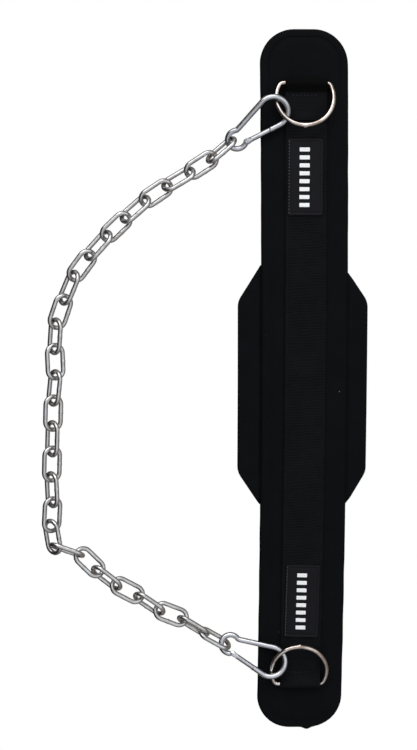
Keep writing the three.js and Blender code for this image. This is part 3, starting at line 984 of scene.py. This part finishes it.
def gate_mesh():
    """The gate: its wire with a slanted end, two cheeks and the pin with a head on each side."""
    r = GATE_WIRE / 2
    end = GATE_LENGTH - GATE_GAP
    path = [Vector((GATE_START + (end - GATE_START) * i / 24, 0.0)) for i in range(25)]

    def bump(i, n, angle):
        grain = 0.03 * noise.noise(Vector((i * 0.3, math.cos(angle), 5.0)))
        return -0.22 * (1 - smooth_step(0, 2, i)) + grain

    def slant(across):
        return GATE_LAP * across / r

    bar = wire(path, r, 24, False, bump=bump, end_shift=slant, dome=(True, False))
    cheek = arc(0, 0, CHEEK_RADIUS, 90, 270, 14) + [(3.5, -2.8), (7.4, -2.1), (7.4, 2.1), (3.5, 2.8)]
    head = disc(PIN_HEAD_RADIUS, 18)
    head_top = CHEEK_OUTSIDE + PIN_HEAD_HEIGHT
    verts, faces = merged([
        bar,
        plate(cheek, CHEEK_INSIDE, CHEEK_OUTSIDE),
        plate(cheek, -CHEEK_OUTSIDE, -CHEEK_INSIDE),
        plate(head, CHEEK_OUTSIDE - 0.1, head_top, 0.2),
        plate(head, -head_top, -CHEEK_OUTSIDE + 0.1, 0.2),
        plate(disc(PIN_RADIUS, 12), -CHEEK_INSIDE - 0.1, CHEEK_INSIDE + 0.1, 0.1),
    ])
    return on_gate(verts), faces


def add_hook(name):
    where = SETTLED[name]["hook"]
    verts, faces = hook_mesh()
    hook = make(f"snap_hook_{name}", place(verts, where), faces, zinc_hook, "hook_steel")
    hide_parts(f"hook_{name}")
    verts, faces = gate_mesh()
    verts = place(verts, where)
    gate = make(f"snap_gate_{name}", verts, faces, zinc_hook, "hook_steel", body=f"gate_{name}")
    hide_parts(f"gate_{name}")


add_hook("top")
add_hook("bottom")


# Chain
LINK_ARC = (LINK_WIDTH - LINK_WIRE) / 2
LINK_HALF = (LINK_LENGTH - LINK_WIDTH) / 2


def link_mesh(number):
    """A bent wire link. Its weld is a small mark midway along the leg on the picture's right."""
    path = arc(LINK_HALF, 0, LINK_ARC, -90, 90, 18) + arc(-LINK_HALF, 0, LINK_ARC, 90, 270, 18)
    points = resample(path, 1.35, True)[0]
    weld = 0.6 * math.sin(number * 1.7)
    leg = -1 if number < TURN_LINK else 1
    phase = number * 2.3

    def bump(i, n, angle):
        p = points[i]
        amount = 0.04 * noise.noise(Vector((p.x * 0.4, p.y * 0.4 + number, math.sin(angle))))
        if leg * p.y > LINK_ARC * 0.8:
            near = math.exp(-((p.x - weld) / 1.5) ** 2)
            rough = Vector((math.cos(angle) * 1.4 + phase, math.sin(angle) * 1.4, p.x * 0.5))
            amount += near * (0.2 + 0.28 * noise.noise(rough))
        return amount

    return wire(points, LINK_WIRE / 2 - 0.1, 20, True, bump=bump)


def lean_of(number):
    """A link's lean about its own run. Which of the two leans comes first changes at the turn."""
    lies_low = (number < TURN_LINK) == (number % 2 == 0)
    return math.radians(LEANS_APART.get(number, LOW_LEAN if lies_low else HIGH_LEAN))


def add_link(number, a, b):
    """A link between two points of the chain's route, set so high that its lower side lies on the floor."""
    lean = lean_of(number)
    run = Vector((b[0] - a[0], b[1] - a[1], 0)).normalized()
    side = Vector((run.y * math.cos(lean), -run.x * math.cos(lean), math.sin(lean)))
    height = LINK_ARC * abs(math.sin(lean)) + LINK_WIRE / 2
    where = (((a[0] + b[0]) / 2, (a[1] + b[1]) / 2, height), run, side)
    verts, faces = link_mesh(number)
    link = make(f"chain_link_{number:02d}", place(verts, where), faces, zinc_chain, "chain_steel")
    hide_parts(f"link_{number:02d}")


for number, (a, b) in enumerate(zip(CHAIN_ROUTE, CHAIN_ROUTE[1:]), 1):
    add_link(number, a, b)


# Lint
def add_lint(name, x, y, z, size):
    """A speck of fluff that lies on the cloth."""
    verts, faces = stitch(Vector((x, y, z)), Vector((1, 0.3, 0)), size * 1.5, size, size * 0.5)
    make(name, verts, faces, lint_cloth, "band_cloth")


add_lint("lint_right", 43.9, -4.8, 9.3, 1.1)
add_lint("lint_left", -42.0, 61.0, 9.0, 0.5)
add_lint("lint_bottom", -24.6, -289.0, 9.4, 0.6)


# Studio: a plain white floor and backdrop for the camera, and a dim room for the metal to mirror
def add_floor():
    """A plain white floor. As in the picture, it takes no shadow and throws no light on the belt."""
    half = FLOOR_SIZE / 2
    mesh = bpy.data.meshes.new("floor")
    plan = ((-half, -half), (half, -half), (half, half), (-half, half))
    corners = [(x, y, FLOOR_HEIGHT) for x, y in plan]
    mesh.from_pydata(corners, [], [(0, 1, 2, 3)])
    obj = bpy.data.objects.new("floor", mesh)
    scene.collection.objects.link(obj)
    material, tree, shader = new_material("floor_white")
    shader.inputs["Base Color"].default_value = (0.0, 0.0, 0.0, 1.0)
    shader.inputs["Specular IOR Level"].default_value = 0.0
    shader.inputs["Emission Color"].default_value = (1.0, 1.0, 1.0, 1.0)
    shader.inputs["Emission Strength"].default_value = 1.0
    mesh.materials.append(material)
    obj.visible_diffuse = False
    obj.visible_glossy = False
    obj.visible_transmission = False
    obj.visible_shadow = False


# The room's tones from straight down, at 0, over the level, at 0.5, to straight up, at 1
ROOM_TONES = [
    (0.0, (0.36, 0.31, 0.26)), (0.40, (0.32, 0.27, 0.23)), (0.50, (0.10, 0.09, 0.085)),
    (0.58, (0.26, 0.26, 0.27)), (0.75, (0.38, 0.39, 0.41)), (0.90, (0.74, 0.76, 0.79)),
    (1.0, (1.06, 1.09, 1.12)),
]

# How much of them is left from its right side to its left
ROOM_SHADE = [(0.30, (1, 1, 1)), (0.62, (0.10, 0.10, 0.11)), (0.95, (0.10, 0.10, 0.11))]


def room_colour(tree):
    """What the metal mirrors: a room lit from above, dark to the left and brown below."""
    direction = node(tree, "ShaderNodeTexCoord")
    split = node(tree, "ShaderNodeSeparateXYZ")
    tree.links.new(direction.outputs["Generated"], split.inputs["Vector"])
    upright = math_node(tree, "MULTIPLY_ADD", split.outputs["Z"], 0.5, 0.5)
    leftward = math_node(tree, "MULTIPLY", split.outputs["X"], -1.0)
    mix = node(tree, "ShaderNodeMix", data_type="RGBA", blend_type="MULTIPLY")
    mix.inputs["Factor"].default_value = 1.0
    tree.links.new(ramp(tree, upright, ROOM_TONES), mix.inputs["A"])
    tree.links.new(ramp(tree, leftward, ROOM_SHADE), mix.inputs["B"])
    return mix.outputs["Result"]


def add_room():
    """The room lights and is mirrored. The camera itself sees plain white behind the floor."""
    world = bpy.data.worlds.new("studio")
    scene.world = world
    world.use_nodes = True
    tree = world.node_tree
    background = tree.nodes["Background"]
    path = node(tree, "ShaderNodeLightPath")
    backdrop = node(tree, "ShaderNodeMix", data_type="RGBA")
    backdrop.inputs["B"].default_value = (1.0, 1.0, 1.0, 1.0)
    tree.links.new(path.outputs["Is Camera Ray"], backdrop.inputs["Factor"])
    tree.links.new(room_colour(tree), backdrop.inputs["A"])
    tree.links.new(backdrop.outputs["Result"], background.inputs["Color"])
    background.inputs["Strength"].default_value = 1.0


def add_area_light(name, location, size, power):
    """A soft rectangular light that points at the middle of the belt."""
    data = bpy.data.lights.new(name, "AREA")
    data.shape = "RECTANGLE"
    data.size, data.size_y = size
    data.energy = power
    obj = bpy.data.objects.new(name, data)
    scene.collection.objects.link(obj)
    obj.location = location
    obj.rotation_mode = "QUATERNION"
    obj.rotation_quaternion = (-Vector(location)).to_track_quat("-Z", "Y")


def add_camera():
    """The camera stands above the belt, as the picture shows it, a few degrees off straight down."""
    data = bpy.data.cameras.new("camera")
    data.lens = 62.4
    data.sensor_width = 36.0
    data.clip_start = 0.05
    data.clip_end = 30.0
    camera = bpy.data.objects.new("camera", data)
    scene.collection.objects.link(camera)
    camera.location = (-0.1370, 0.1597, 1.4990)
    camera.rotation_euler = (math.radians(-5.56), math.radians(-1.14), math.radians(0.03))
    scene.camera = camera


add_floor()
add_room()
add_area_light("key", (-0.7, 2.3, 1.7), (3.0, 2.0), 54.0)
add_area_light("fill", (1.9, 0.6, 2.0), (1.6, 2.0), 9.0)
add_camera()
scene.view_settings.view_transform = "Standard"
